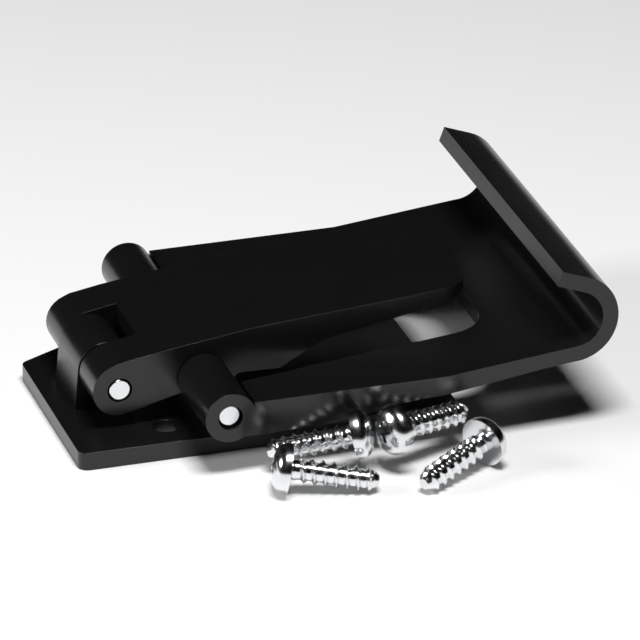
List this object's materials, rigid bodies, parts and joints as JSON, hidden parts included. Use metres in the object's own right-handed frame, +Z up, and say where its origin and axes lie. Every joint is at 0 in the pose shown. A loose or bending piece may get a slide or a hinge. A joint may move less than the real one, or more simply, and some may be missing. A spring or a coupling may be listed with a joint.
{
  "type": "over-centre draw latch",
  "caption": "black moulded draw latch with a forked cam lever, a wide hooked claw on a link pin, a screw-down base plate and loose pan-head screws",
  "frame": {"origin": "centre of the base plate's underside, where it meets the wall or gate", "axes": "+Z up away from the mounting surface, +X from the hinge post towards the hook, +Y across the latch"},
  "size_m": [0.0984, 0.0869, 0.0318],
  "materials": {
    "black_nylon": "moulded glossy black",
    "steel": "bright plated steel"
  },
  "bodies": {
    "base": {"base_plate": "black_nylon", "hinge_pin": "steel", "screw_1": "steel", "screw_2": "steel", "screw_3": "steel", "screw_4": "steel"},
    "lever": {"lever": "black_nylon", "link_pin": "steel"},
    "claw": {"claw": "black_nylon"}
  },
  "joints": [
    {"name": "lever_swing", "type": "hinge", "parent": "base", "child": "lever", "pos_m": [-0.02585, 0, 0.011], "axis": [0, -1, 0], "range_deg": [0, 90]},
    {"name": "claw_swing", "type": "hinge", "parent": "lever", "child": "claw", "pos_m": [-0.0104, 0, 0.0116], "axis": [0, 1, 0], "range_deg": [-100, 0]}
  ]
}
